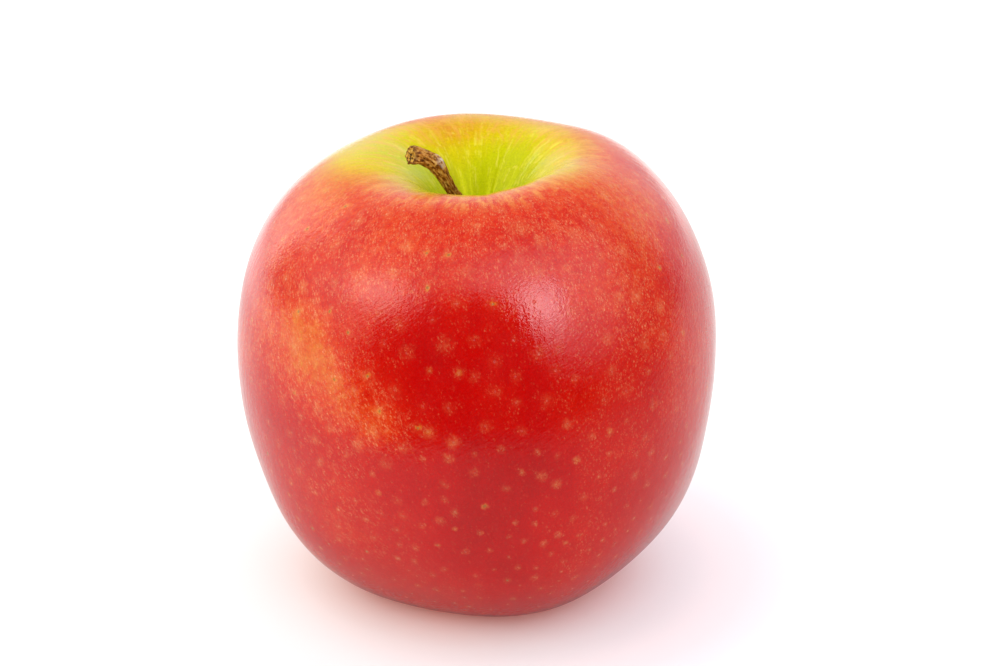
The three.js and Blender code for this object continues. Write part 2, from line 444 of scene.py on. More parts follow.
FRONT_LENTICELS = (  # pixel x and y, radius of the pale halo in mm, 1 where the pore is dark
    (405, 243, 0.9, 0), (425, 249, 0.9, 1), (448, 251, 0.9, 1), (466, 268, 1.0, 0),
    (389, 271, 0.8, 0), (426, 283, 0.8, 1), (544, 237, 1.0, 0), (522, 225, 1.2, 0),
    (578, 233, 1.2, 0), (538, 266, 0.8, 0), (568, 264, 0.7, 0), (380, 307, 0.8, 0),
    (397, 322, 1.0, 0), (442, 347, 1.1, 0), (406, 355, 1.1, 0), (494, 366, 0.9, 0),
    (457, 376, 0.8, 0), (475, 381, 0.8, 0), (364, 378, 0.9, 1), (344, 335, 0.7, 1),
    (333, 382, 0.9, 1), (353, 394, 0.8, 0), (379, 414, 0.9, 1), (390, 390, 0.9, 0),
    (415, 430, 0.9, 1), (425, 436, 0.9, 0), (453, 446, 0.9, 0), (354, 447, 0.9, 0),
    (447, 411, 0.8, 0), (497, 396, 0.8, 0), (515, 408, 0.7, 0), (481, 430, 0.8, 0),
    (562, 351, 0.8, 0), (559, 373, 0.8, 0), (544, 354, 1.1, 0), (620, 294, 0.8, 0),
    (640, 294, 1.0, 0), (601, 253, 0.8, 0), (570, 428, 0.7, 0), (596, 437, 0.6, 0),
    (647, 439, 0.6, 0), (626, 249, 0.9, 0), (294, 311, 0.7, 1), (299, 291, 0.9, 0),
    (326, 314, 0.7, 1), (291, 350, 1.0, 0), (313, 358, 1.1, 0), (290, 396, 0.9, 1),
    (285, 372, 0.8, 0), (268, 336, 0.8, 0), (270, 369, 0.7, 0), (280, 404, 0.8, 0),
    (316, 411, 0.8, 0), (355, 448, 0.8, 0), (382, 466, 0.9, 0), (287, 436, 0.7, 0),
    (311, 442, 0.8, 0), (307, 226, 0.7, 1), (306, 244, 0.9, 0), (344, 203, 0.8, 1),
    (386, 210, 0.8, 0), (372, 434, 0.9, 0), (318, 464, 0.7, 0), (297, 474, 0.7, 0),
)
LENTICEL_DRAWS = 6000
LENTICEL_ARCS = (22.0, 128.0)
LENTICEL_ROOM = ((24, 5.4), (40, 4.8), (60, 3.9), (85, 2.6), (115, 2.3))  # arc, mm apart
LENTICEL_SIZE = ((24, 0.55), (45, 0.75), (62, 0.68), (85, 0.42), (115, 0.34))  # arc, mm
LENTICEL_SIZE_SPREAD = 0.35
LENTICEL_ROOM_SPREAD = (0.8, 1.2)
DARK_PORES = 0.05  # the share of lenticels whose pore is dark
GRAIN_ROUND = 40.0  # the radius at which the grain's coordinates run true
WIPE = math.radians(35)  # how steeply the wipe marks climb
WIPED = (1.7, 1.2)  # azimuths either side of the front between which they fade in


def on_skin(points, x, y):
    """The index of the skin's point that the camera sees nearest to a pixel."""
    toward = np.array(pixel_ray(x, y))
    away = points - np.array(CAMERA_AT) / MM
    depth = away @ toward
    aside = np.linalg.norm(away - depth[:, None] * toward, axis=1)
    near = np.where(aside < aside.min() + POINT_GAP)[0]
    return near[np.argmin(depth[near])]


def ripeness_of(points, arc, azimuth):
    """How ripe the skin is at each point."""
    turned = np.degrees(azimuth)
    reach = np.full(len(arc), YELLOW_REACH)
    for at, width, amount in YELLOW_SPILLS:
        away = (turned - at + 180) % 360 - 180
        reach += amount * np.exp(-(away / width) ** 2)
    ripeness = lookup(RIPENING, arc - reach) * lookup(EYE_RIPENESS, arc)
    patches = [(points[on_skin(points, x, y)], size, amount)
               for x, y, size, amount in FRONT_PATCHES]
    back = np.where((np.cos(azimuth) < math.cos(BACK_FROM))
                    & (arc > OTHER_PATCH_ARCS[0]) & (arc < OTHER_PATCH_ARCS[1]))[0]
    patches += [(points[rng.choice(back)], rng.uniform(*OTHER_PATCH_SIZE),
                 rng.uniform(*OTHER_PATCH_AMOUNT)) for _ in range(OTHER_PATCHES)]
    for centre, size, amount in patches:
        away = np.linalg.norm(points - centre, axis=1) / size
        ripeness -= amount * np.exp(-away**2)
    return ripeness


def scatter_lenticels(points, arc):
    """Rows of a lenticel's place, the radius of its halo, and 1 where its pore is dark."""
    found = [(*points[on_skin(points, x, y)], size, dark) for x, y, size, dark in FRONT_LENTICELS]
    allowed = np.where((arc > LENTICEL_ARCS[0]) & (arc < LENTICEL_ARCS[1]))[0]
    weight = np.hypot(points[allowed, 0], points[allowed, 1])
    for k in rng.choice(allowed, LENTICEL_DRAWS, p=weight / weight.sum()):
        room = lookup(LENTICEL_ROOM, arc[k]) * rng.uniform(*LENTICEL_ROOM_SPREAD)
        if np.linalg.norm(np.array(found)[:, :3] - points[k], axis=1).min() > room:
            size = lookup(LENTICEL_SIZE, arc[k]) * (1 + LENTICEL_SIZE_SPREAD * rng.uniform(-1, 1))
            found.append((*points[k], size, rng.random() < DARK_PORES))
    return np.array(found, float)


def read(items, name, width, kind=float):
    """One property of all of a mesh's items, a row for each."""
    values = np.empty(len(items) * width, kind)
    items.foreach_get(name, values)
    return values.reshape(-1, width)


def keep_lenticels(mesh, lenticels):
    """Each face keeps its nearest lenticel, and each corner how far it is from its middle."""
    corners = read(mesh.loops, "vertex_index", 1, int)[:, 0]
    totals = read(mesh.polygons, "loop_total", 1, int)[:, 0]
    tree = KDTree(len(lenticels))
    for k, lenticel in enumerate(lenticels):
        tree.insert(lenticel[:3], k)
    tree.balance()
    centres = read(mesh.polygons, "center", 3) / MM
    nearest = np.array([tree.find(centre)[1] for centre in centres])
    of_corner = np.repeat(nearest, totals)
    places = read(mesh.vertices, "co", 3) / MM
    store(mesh, "pore_offset", places[corners] - lenticels[of_corner, :3], "CORNER")
    store(mesh, "pore_size", lenticels[nearest, 3], "FACE")
    store(mesh, "pore_dark", lenticels[nearest, 4], "FACE")
    store(mesh, "pore_chance", rng.random(len(lenticels))[nearest], "FACE")


def keep_unwrap(mesh, rows, columns, arcs):
    """A map of the piece as a rolled-out tube, one quad of the grid after another."""
    layer = mesh.uv_layers.new(name="OFBake")
    up = 1 - arcs / (arcs[-1] + arcs[0])
    row, column = np.meshgrid(np.arange(rows - 1), np.arange(columns), indexing="ij")
    left, right = column / columns, (column + 1) / columns
    quads = np.stack([left, up[row], left, up[row + 1], right, up[row + 1],
                      right, up[row]], -1).reshape(-1)
    fans = []
    for k in range(columns):
        middle = (k + 0.5) / columns
        left, right = k / columns, (k + 1) / columns
        fans += [middle, 1.0, left, up[0], right, up[0]]
        fans += [middle, 0.0, right, up[-1], left, up[-1]]
    layer.data.foreach_set("uv", np.concatenate([quads, fans]).astype(np.float32))


def make_fruit(material):
    """The skin, with the fields that its material reads."""
    rings, ends, arcs, azimuths = skin_points()
    points = np.vstack([rings.reshape(-1, 3), ends])
    arc = np.concatenate([np.repeat(arcs, SKIN_COLUMNS), [0, arcs[-1]]])
    azimuth = np.concatenate([np.tile(azimuths, SKIN_ROWS), [0, 0]])
    piece = make_object("fruit_skin", points, closed_faces(SKIN_ROWS, SKIN_COLUMNS),
                        "skin", material)
    mesh = piece.data
    keep_unwrap(mesh, SKIN_ROWS, SKIN_COLUMNS, arcs)
    grain = np.stack([GRAIN_ROUND * np.sin(azimuth), GRAIN_ROUND * np.cos(azimuth), arc], 1)
    store(mesh, "grain", grain)
    # The wipe marks in the wax climb from left to right on the side that faces the camera.
    signed = (azimuth + math.pi) % (2 * math.pi) - math.pi
    run, climb = GRAIN_ROUND * signed, -arc
    slant = np.stack([climb * math.cos(WIPE) - run * math.sin(WIPE),
                      run * math.cos(WIPE) + climb * math.sin(WIPE), 0 * arc], 1)
    store(mesh, "slant", slant)
    store(mesh, "streaked", fade(WIPED, np.abs(signed)))
    store(mesh, "arc", arc)
    store(mesh, "ripeness", ripeness_of(points, arc, azimuth))
    keep_lenticels(mesh, scatter_lenticels(points, arc))
    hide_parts("fruit")


SKIN_RAMP = (  # ripeness and colour
    (0.0, (0.34, 0.41, 0.001)), (0.14, (0.4, 0.42, 0.001)), (0.26, (0.48, 0.41, 0.001)),
    (0.35, (0.5, 0.31, 0.003)), (0.42, (0.5, 0.19, 0.02)), (0.52, (0.51, 0.095, 0.013)),
    (0.62, (0.5, 0.042, 0.006)), (0.72, (0.46, 0.015, 0.002)), (0.82, (0.41, 0.005, 0.001)),
    (0.92, (0.368, 0.0012, 0.0007)), (1.0, (0.312, 0.0008, 0.0006)),
)


# The skin's layers. A span is where a layer starts and ends, on the arc in mm or on the number
# that it follows, and then its share at both ends where that isn't 0 and 1.
RED_SPAN, DEEP_SPAN = (0.38, 0.62), (0.66, 0.9)  # of ripeness
BLOTCH_SIZE, BLOTCH_HEIGHT = 11, 0.05
LINE_SIZE, LINE_STRETCH = 2.2, (1, 1, 0.12)
LINE_ARCS = ((60, 32, 0.012, 0.035), (23, 35, 0.15, 1.0))
MOTTLE_SIZE, MOTTLE_BY_DEPTH, MOTTLE_BY_RED = 1.2, (0.098, 0.022), (0.3, 1.0)

HALO_RAGGED = 0.4  # how far its edge wanders
HALO_SPAN = (1.9, 0.1)  # in radii of the halo
HALO_SHARES = (0.4, 1.0)  # of the faintest and the strongest halo
CORE_SPAN, BLOT_SPAN = (0.26, 0.1), (0.6, 0.1)  # mm from the pore's middle
CORE_RAGGED, BLOT_RAGGED = 0.3, 0.9
BELOW = (58, 70)  # the arc that the lower half starts on

CROWD_SIZE, CROWD_SPAN = 3.0, (0.36, 0.64, 0.25, 1.0)
CROWD_BY_RIPENESS = (0.94, 0.74, 0.0, 0.9)
CROWD_BY_ARC = (66, 86, 1.0, 0.8)
CROWD_IN_HALO = (0.95, 0.62, 1.0)  # where the red isn't deep, and deep above and below
HAZE_IN_HALO = (0.32, 0.08, 0.2)
GRAIN_KINDS = ((0.44, 0.15, 0.1), (0.31, 0.11, 0.08))  # mm apart, radius and soft edge
GRAIN_STRETCH = (1, 1, 0.68)
GRAIN_SOFT = 0.25  # how gently the crowd thins out
GRAIN_SHARES = (0.36, 0.19)  # outside and in the deepest red
SHADE_SIZE, SHADE_SPAN = 0.34, (0.87, 1.13)

HAZE_COLOUR = (0.6, 0.28, 0.09, 1)
GRAIN_COLOUR = (0.66, 0.33, 0.14, 1)
BLOT_COLOUR, BLOT_SHARE = (0.5, 0.27, 0.02, 1), 0.36
BLOT_BY_CHANCE, BLOT_BY_ARC = (0.92, 0.98, 0.0, 0.45), (84, 70, 0.2, 1.0)
CORE_COLOUR, CORE_SHARE = (0.13, 0.07, 0.008, 1), 0.65
# Marks in the cavity and on its rim, which run down it in gentle bends: the stretch, size,
# detail and roughness of their noise, its span, the arcs that they lie between, and colour.
BEND_STRETCH, BEND_SIZE, BEND = (1, 1, 0.2), 4.0, 4.0
CAVITY_MARKS = (
    (1.0, 1.5, 4, 0.65, (0.5, 0.75), (46, 26, 0.0, 0.24), (26, 36), (0.52, 0.27, 0.13, 1)),
    (2.8, 2.5, 2, 0.5, (0.5, 0.8, 0.0, 0.6), (26, 20), (8, 12), (0.66, 0.58, 0.07, 1)),
    (2.4, 2.2, 3, 0.6, (0.4, 0.7, 0.0, 0.55), (16, 21), (30, 25), (0.62, 0.29, 0.055, 1)),
)
RUSSET_ARC, RUSSET_SPAN = (7.5, 3.5), (0.35, 0.7, 0.15, 0.8)
RUSSET_COLOUR = (0.2, 0.11, 0.02, 1)

WAX_ROUGHNESS = (0.08, 0.13)
CORE_ROUGHER, RUSSET_ROUGHER = 0.2, 0.3
WAX_IOR = 1.42
FINE_BUMP, WIPE_BUMP, RIPPLE_BUMP, CORE_BUMP = 0.032, 0.048, 0.055, -0.03  # mm
RIPPLE_ARCS = (14, 34, 0.2, 1.0)
GROUND_TINT = (1.0, 0.95, 0.04, 1)  # of the gloss over the yellow ground


def varied_ripeness(look, place, grain, arc, on_red, deep):
    """Ripeness in blotches, in lines from the stem to the eye, and in fine mottles."""
    blotch = look.spread(look.noise(place, BLOTCH_SIZE, 3), -BLOTCH_HEIGHT, BLOTCH_HEIGHT)
    lines = look.noise(grain, LINE_SIZE, 3, 0.5, LINE_STRETCH)
    lines = look.times(look.spread(lines, -1, 1), *[look.scaled(arc, *span) for span in LINE_ARCS])
    mottle = look.spread(look.noise(place, MOTTLE_SIZE, 5, 0.75), -1, 1)
    mottle = look.times(mottle, look.scaled(deep, 0, 1, *MOTTLE_BY_DEPTH),
                        look.scaled(on_red, 0, 1, *MOTTLE_BY_RED))
    return look.plus(look.number("ripeness"), blotch, lines, mottle)


def lenticel_parts(look, place, chance):
    """A wide loose halo round each lenticel, its open pore, and the blot under the pore."""
    span = look.length(look.vector("pore_offset"))
    uneven = look.spread(look.noise(place, 0.9, 3, 0.6), -HALO_RAGGED, HALO_RAGGED)
    halo = look.math("DIVIDE", span, look.number("pore_size"))
    halo = look.times(look.scaled(look.plus(halo, uneven), *HALO_SPAN),
                      look.scaled(chance, 0, 1, *HALO_SHARES, "LINEAR"))
    core = look.plus(span, look.times(uneven, CORE_RAGGED))
    blot = look.plus(span, look.times(uneven, BLOT_RAGGED))
    return halo, look.scaled(core, *CORE_SPAN), look.scaled(blot, *BLOT_SPAN)


def pale_grains(look, place, grain, crowd):
    """Fine pale grains, as many as the crowd lets through."""
    grains = 0.0
    rough_place = look.vectors("ADD", look.stretched(grain, GRAIN_STRETCH),
                               look.noise(place, 0.3, 2))
    for kind in GRAIN_KINDS:
        dots, draw, chosen = look.specks(rough_place, *kind)
        present = look.scaled(look.math("SUBTRACT", crowd, draw), -GRAIN_SOFT, GRAIN_SOFT)
        dots = look.times(dots, look.scaled(chosen, 0, 1, 0.25, 1.0))
        grains = look.plus(grains, look.times(dots, present))
    return grains


def skin_material():
    look = new_look("skin")
    place = look.place()
    grain = look.vector("grain")
    arc = look.number("arc")
    on_red = look.scaled(look.number("ripeness"), *RED_SPAN)
    deep = look.scaled(look.number("ripeness"), *DEEP_SPAN)
    below = look.scaled(arc, *BELOW)
    ripe = varied_ripeness(look, place, grain, arc, on_red, deep)
    dark = look.number("pore_dark")
    chance = look.number("pore_chance")
    halo, core, blot = lenticel_parts(look, place, chance)

    def in_halo(pale, above, under):
        return look.scaled(deep, 0, 1, pale, look.scaled(below, 0, 1, above, under))

    # Pale grains crowd the halos and the red skin, and thin out where it is deepest.
    crowd = look.times(look.scaled(look.noise(place, CROWD_SIZE, 3, 0.6), *CROWD_SPAN),
                       look.scaled(ripe, *CROWD_BY_RIPENESS),
                       look.scaled(arc, *CROWD_BY_ARC))
    crowd = look.math("MAXIMUM", crowd, look.times(halo, in_halo(*CROWD_IN_HALO)))
    grains = pale_grains(look, place, grain, look.times(crowd, on_red))
    haze = look.scaled(look.noise(place, 0.5, 3, 0.6), 0.35, 0.65, 0.3, 1.0)
    haze = look.times(halo, haze, on_red, in_halo(*HAZE_IN_HALO))

    shade = look.spread(look.noise(place, SHADE_SIZE, 3, 0.7), *SHADE_SPAN)
    colour = look.node("ShaderNodeVectorMath", {
        0: look.ramp(ripe, SKIN_RAMP), "Scale": shade}, operation="SCALE").outputs[0]
    colour = look.mix(haze, colour, HAZE_COLOUR)
    colour = look.mix(look.times(grains, look.scaled(deep, 0, 1, *GRAIN_SHARES)),
                      colour, GRAIN_COLOUR)
    blot = look.times(look.math("MAXIMUM", dark, look.scaled(chance, *BLOT_BY_CHANCE)),
                      blot, BLOT_SHARE, on_red, look.scaled(arc, *BLOT_BY_ARC))
    colour = look.mix(blot, colour, BLOT_COLOUR)
    colour = look.mix(look.times(core, dark, CORE_SHARE), colour, CORE_COLOUR)
    # Pale lines on the shoulder, dashes in the cavity, a blush on its rim, and russet.
    bend = look.times(look.noise(place, BEND_SIZE, 2), BEND)
    bent = look.vectors("ADD", look.stretched(grain, BEND_STRETCH), bend)
    for stretch, size, detail, roughness, span, inner, outer, mark_colour in CAVITY_MARKS:
        marks = look.noise(bent, size, detail, roughness, (1, 1, stretch))
        marks = look.times(look.scaled(marks, *span), look.scaled(arc, *inner),
                           look.scaled(arc, *outer))
        colour = look.mix(marks, colour, mark_colour)
    russet = look.times(look.scaled(arc, *RUSSET_ARC),
                        look.scaled(look.noise(grain, 1.3, 3), *RUSSET_SPAN))
    colour = look.mix(russet, colour, RUSSET_COLOUR)

    rough = look.plus(look.spread(look.noise(place, 5, 3), *WAX_ROUGHNESS),
                      look.times(core, CORE_ROUGHER),
                      look.times(russet, RUSSET_ROUGHER))
    ripple = look.noise(grain, 1.4, 3, 0.55, (1, 1, 0.35))
    streaks = look.noise(look.vector("slant"), 0.6, 3, 0.6, (1, 0.28, 1))
    normal = look.bump(look.noise(place, 0.34, 2, 0.6), FINE_BUMP)
    normal = look.bump(streaks, WIPE_BUMP, look.number("streaked"), normal)
    normal = look.bump(ripple, RIPPLE_BUMP, look.scaled(arc, *RIPPLE_ARCS), normal)
    normal = look.bump(core, CORE_BUMP, 1.0, normal)
    tint = look.mix(on_red, GROUND_TINT, (1, 1, 1, 1))
    return glossy(look, Base_Color=colour, Roughness=rough, IOR=WAX_IOR, Normal=normal,
                  Specular_Tint=tint)


# ---- The stem ----

STEM_LINE = [
    (0, 0, 55.9), (0.05, 0, 58.1), (-0.7, 0.1, 61.1), (-2.5, -0.2, 63.9),
    (-4.4, -0.5, 66.3), (-5.7, -1.8, 69.4), (-7.1, -3.2, 72.0), (-9.1, -5.1, 73.75),
    (-10.7, -6.2, 74.3),
]
WAIST = 0.86
SHOULDER, SHOULDER_SPAN = 0.33, (0.45, 0.75)  # spans are shares of the stem's length
KNOB, KNOB_SPAN, KNOB_LOBES = 0.3, (0.8, 1), (3, 0.25, 0)
ROOT_FLARE, ROOT_SPAN = 0.12, (0.3, 0)
FLAT, TWIST = (2, 0.04, 0), 3.5
SCAR = {"size": 0.35, "along": 0.74, "spread": 0.06, "side": 1.4}
STEM_ROWS = 300
STEM_SIDES = 96
BARK_SHOWN = (0.06, 0.2)  # where the bark's relief fades in
BARK_RIDGES = ((5, 0.04, 3.0), (8, 0.05, -5.0), (13, 0.035, 8.0))  # count, mm, twist
BARK_ROUGH = 0.075
RIM_TURN, RIM_TURN_SPAN = 0.12, (0.985, 1.0)  # the bark's turn over the torn end's rim
TIP_ROWS = 16  # rings of the torn end, from its rim to its middle
TIP_DISH, TIP_DISH_SPAN = 0.35, (0, 0.8)  # mm that it sinks in, on the way to its middle
TIP_ROUGH, TIP_ROUGH_SPAN = 0.1, (0, 0.2)
TIP_RAGGED, TIP_RAGGED_SPAN = 0.09, (0.95, 1.0)  # mm that the bark's end stands out or back
GRAIN_RADIUS, GRAIN_LENGTH = 1.1, 22  # the size at which the bark's coordinates run true


def knotted(along, side, count, seed):
    """Smooth random heights round the stem, about -1 to 1, long in the stem's direction."""
    draw = np.random.default_rng(seed)
    total = np.zeros(np.broadcast(along, side).shape)
    for _ in range(count):
        waves = draw.integers(1, 14)
        total = total + np.cos(waves * side + draw.uniform(-60, 60) * along
                               + draw.uniform(0, 6.3)) / count**0.5
    return total


def stem_radius(along, side):
    away = (along - SCAR["along"]) / SCAR["spread"]
    facing = fade((0, 1), np.cos(side - SCAR["side"]))
    radius = (WAIST + SHOULDER * fade(SHOULDER_SPAN, along)
              + KNOB * fade(KNOB_SPAN, along) * (1 + wave(*KNOB_LOBES, side))
              + ROOT_FLARE * fade(ROOT_SPAN, along)
              + SCAR["size"] * np.exp(-away * away) * facing
              + wave(*FLAT, side + TWIST * along))
    shown = fade(BARK_SHOWN, along)
    for count, height, twist in BARK_RIDGES:
        radius = radius + shown * height * np.cos(count * side + twist * along)
    return radius + shown * BARK_ROUGH * knotted(along, side, count=24, seed=3)


def make_stem(material):
    """The stem with its torn end, and the fields that its material reads."""
    line = spline(STEM_LINE, STEM_ROWS)
    ahead = unit(np.gradient(line, axis=0))
    across = unit(np.cross((0, 1, 0), ahead))
    up = np.cross(across, ahead)
    along = np.linspace(0, 1, STEM_ROWS)[:, None]
    side = round_angles(STEM_SIDES)[None, :]
    reach = stem_radius(along, side) * (1 - RIM_TURN * fade(RIM_TURN_SPAN, along))
    shell = (line[:, None] + reach[..., None] * (across[:, None] * np.sin(side)[..., None]
                                                 + up[:, None] * np.cos(side)[..., None]))
    ragged = TIP_RAGGED * fade(TIP_RAGGED_SPAN, along)
    ragged = ragged * knotted(0.02 * along, side, count=16, seed=8)
    shell = shell + ragged[..., None] * ahead[:, None]
    inward = np.linspace(0, 1, TIP_ROWS + 1)[1:-1, None]
    sunk = TIP_DISH * fade(TIP_DISH_SPAN, inward)
    sunk = sunk * (1 + 0.5 * knotted(inward * 0.04, side, count=12, seed=5))
    rough = TIP_ROUGH * knotted(inward * 0.2, side, count=20, seed=9)
    sunk = sunk + rough * fade(TIP_ROUGH_SPAN, inward)
    tip = (shell[-1] * (1 - inward[..., None]) + line[-1] * inward[..., None]
           - ahead[-1] * sunk[..., None])
    points = np.vstack([shell.reshape(-1, 3), tip.reshape(-1, 3),
                        [line[0], line[-1] - ahead[-1] * TIP_DISH]])
    rows = STEM_ROWS + TIP_ROWS - 1
    piece = make_object("stem_bark", points, closed_faces(rows, STEM_SIDES), "bark", material)
    place = np.concatenate([np.repeat(along, STEM_SIDES), np.ones(len(tip) * STEM_SIDES), [0, 1]])
    torn = np.concatenate([np.zeros(STEM_ROWS * STEM_SIDES), np.repeat(inward, STEM_SIDES),
                           [0, 1]])
    turned = np.concatenate([np.tile(side[0], rows), [0, 0]])
    grain = np.stack([GRAIN_RADIUS * np.sin(turned), GRAIN_RADIUS * np.cos(turned),
                      GRAIN_LENGTH * place], 1)
    store(piece.data, "grain", grain)
    store(piece.data, "along", place)
    store(piece.data, "torn", torn)
    store(piece.data, "facing", np.cos(turned - SCAR["side"]))
    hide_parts("stem")


BARK_RAMP = (
    (0.0, (0.06, 0.015, 0.001)), (0.34, (0.19, 0.055, 0.003)),
    (0.6, (0.36, 0.135, 0.014)), (1.0, (0.56, 0.31, 0.075)),
)
FLECK_COLOUR = (0.68, 0.44, 0.13, 1)
LOW_COLOUR, LOW_SPAN = (0.18, 0.048, 0.001, 1), (0.66, 0.42, 0, 0.6)
SCAR_COLOUR = (0.54, 0.46, 0.38, 1)
SCAR_SIDE, SCAR_START, SCAR_END = (0.55, 1.0), (0.69, 0.73), (0.8, 0.76)
WOOD_SPAN = (0.1, 0.22)
WOOD_RAMP = (
    (0.3, (0.12, 0.04, 0.002)), (0.42, (0.34, 0.16, 0.014)),
    (0.55, (0.58, 0.34, 0.05)), (0.75, (0.78, 0.57, 0.17)),
)
PIT_COLOUR, PIT_SHARE = (0.025, 0.01, 0.005, 1), 0.9
RIM_COLOUR, RIM_SHARE = (0.1, 0.034, 0.004, 1), 0.7
RIM_START, RIM_END = (0.965, 0.995), (0.16, 0.08)  # along the stem, and into the torn end
FIBRE_BUMP, BARK_BUMP = 0.16, 0.1  # mm
BARK_ROUGHNESS = (0.62, 0.85)


def bark_material():
    look = new_look("bark")
    grain = look.vector("grain")
    place = look.place()
    along = look.number("along")
    torn = look.number("torn")

    fibre = look.noise(grain, 0.26, 4, 0.6, (1, 1, 0.24))
    patch = look.noise(grain, 0.9, 3, 0.6, (1, 1, 0.4))
    colour = look.ramp(look.scaled(fibre, 0.32, 0.68), BARK_RAMP)
    flecks = look.noise(grain, 0.34, 3, 0.6, (1, 1, 0.5))
    flecks = look.times(look.scaled(flecks, 0.52, 0.60, 0, 0.8),
                        look.scaled(patch, 0.38, 0.62, 0.15, 1.0))
    colour = look.mix(flecks, colour, FLECK_COLOUR)
    colour = look.mix(look.scaled(along, *LOW_SPAN), colour, LOW_COLOUR)
    # Old scar tissue, grey and mauve, on the upper side near the end.
    scar = look.times(look.scaled(look.number("facing"), *SCAR_SIDE),
                      look.scaled(along, *SCAR_START), look.scaled(along, *SCAR_END),
                      look.scaled(look.noise(place, 0.7, 3), 0.40, 0.56, 0.1, 1.0))
    colour = look.mix(scar, colour, SCAR_COLOUR)
    # The torn end: dry ochre wood with dark pits, and a dark line of bark round it.
    wood = look.ramp(look.noise(place, 0.22, 4, 0.65), WOOD_RAMP)
    pits = look.scaled(look.noise(place, 0.50, 3), 0.48, 0.40, 0, PIT_SHARE)
    wood = look.mix(pits, wood, PIT_COLOUR)
    colour = look.mix(look.scaled(torn, *WOOD_SPAN), colour, wood)
    rim = look.times(look.scaled(along, *RIM_START), look.scaled(torn, *RIM_END), RIM_SHARE)
    colour = look.mix(rim, colour, RIM_COLOUR)

    normal = look.bump(fibre, FIBRE_BUMP)
    normal = look.bump(look.noise(place, 0.3, 3), BARK_BUMP, 0.9, normal)
    return glossy(look, Base_Color=colour, Roughness=look.spread(patch, *BARK_ROUGHNESS),
                  Specular_IOR_Level=0.15, Normal=normal)


# ---- The calyx ----

SEPALS = 5
SEPAL_TURN, SEPAL_TURN_SPREAD = 0.5, 0.08
SEPAL_WIDTH = 3.8
SEPAL_LINE = ((1.9, 6.9), (3.2, 5.4), (0.6, 3.2), (5.6, 3.8))
SEPAL_CUP = 0.4
SEPAL_TAPER = (0.86, 1.4)
SEPAL_WAVY = 0.05
SEPAL_THICK, SEPAL_THINNER = 0.45, 0.28
SEPAL_LONG, SEPAL_ACROSS = 90, 36
SEPAL_CREASE, CREASE_IN, CREASE_OUT = 0.1, (0, 0.12), (1.02, 0.9)
SEPAL_DROOP = 0.3
SEPAL_SWAY = 0.25
EYE_RADIUS = 2.5
EYE_FLOOR = 6.9
BASE_ROWS, BASE_COLUMNS = 24, 60
BASE_DOME, BASE_DOME_SPAN = 1.6, (0.55, 0.0)
BASE_ROUGH, BASE_WAVES = 0.08, 14
STAMENS = 16
STAMEN_LENGTH = (1.6, 2.7)
STAMEN_START, STAMEN_LEAN, STAMEN_TURN_SPREAD = (0.9, 1.5), (-0.35, 0.1), 0.15
STAMEN_ROWS, STAMEN_SIDES = 14, 10
STAMEN_LIFT, STAMEN_WAVES = 0.3, (0.12, 0.18)
STAMEN_RADIUS = 0.11
ANTHER_RADIUS = 0.22
ANTHER_AT, ANTHER_SPREAD = 0.95, 0.06


def bezier(control, t):
    a, b, c, d = (np.array(p, float) for p in control)
    t = t[:, None]
    return (1 - t) ** 3 * a + 3 * (1 - t) ** 2 * t * b + 3 * (1 - t) * t**2 * c + t**3 * d


def make_sepals():
    """The dry sepals as (points, faces), and their grain's coordinates."""
    t = np.linspace(0, 1, SEPAL_LONG)
    line = bezier(SEPAL_LINE, t)
    ahead = unit(np.gradient(line, axis=0))
    along = t[:, None]
    around = round_angles(SEPAL_ACROSS)
    across = np.cos(around)[None, :]
    face = np.sin(around)[None, :]
    faces = closed_faces(SEPAL_LONG, SEPAL_ACROSS)
    parts, grains = [], []
    for k in range(SEPALS):
        draw = np.random.default_rng(20 + k)
        width = SEPAL_WIDTH / 2 * (1 - SEPAL_TAPER[0] * along ** SEPAL_TAPER[1])
        width = width * (1 + SEPAL_WAVY * np.cos(9 * along * 2 + k) * along)
        thick = SEPAL_THICK * (0.5 - SEPAL_THINNER * along)
        thick = thick * np.sqrt(np.clip(1 - across**2, 0.05, 1))
        crease = SEPAL_CREASE * (np.cos(3.2 * across + 5 * along + k)
                                 + 0.6 * np.cos(8 * across + draw.uniform(0, 6))
                                 + 0.5 * np.cos(11 * along + 4 * across + draw.uniform(0, 6)))
        crease = crease * (fade(CREASE_IN, along) * fade(CREASE_OUT, along))
        out = SEPAL_CUP * across**2 * (1 - along) + crease + thick * face
        droop = draw.uniform(-SEPAL_DROOP, SEPAL_DROOP) * along**3
        r = line[:, :1] - out * ahead[:, 1:]
        z = line[:, 1:] + out * ahead[:, :1] + droop
        x = -across * width + SEPAL_SWAY * np.sin(5 * along + 2 * k) * along
        turn = SEPAL_TURN + 2 * np.pi * k / SEPALS
        turn += draw.uniform(-SEPAL_TURN_SPREAD, SEPAL_TURN_SPREAD)
        ring = round_axis(turn, r, z, x)
        parts.append((np.vstack([ring.reshape(-1, 3), ring[0].mean(0), ring[-1].mean(0)]), faces))
        grain = np.stack([(across * width * 2) + 9 * k, 3 * along + 0 * across,
                          0 * along + face], -1)
        grains += [grain.reshape(-1, 3), [[9 * k, 0, 0], [9 * k, 3, 0]]]
    return joined(parts), np.vstack(grains)


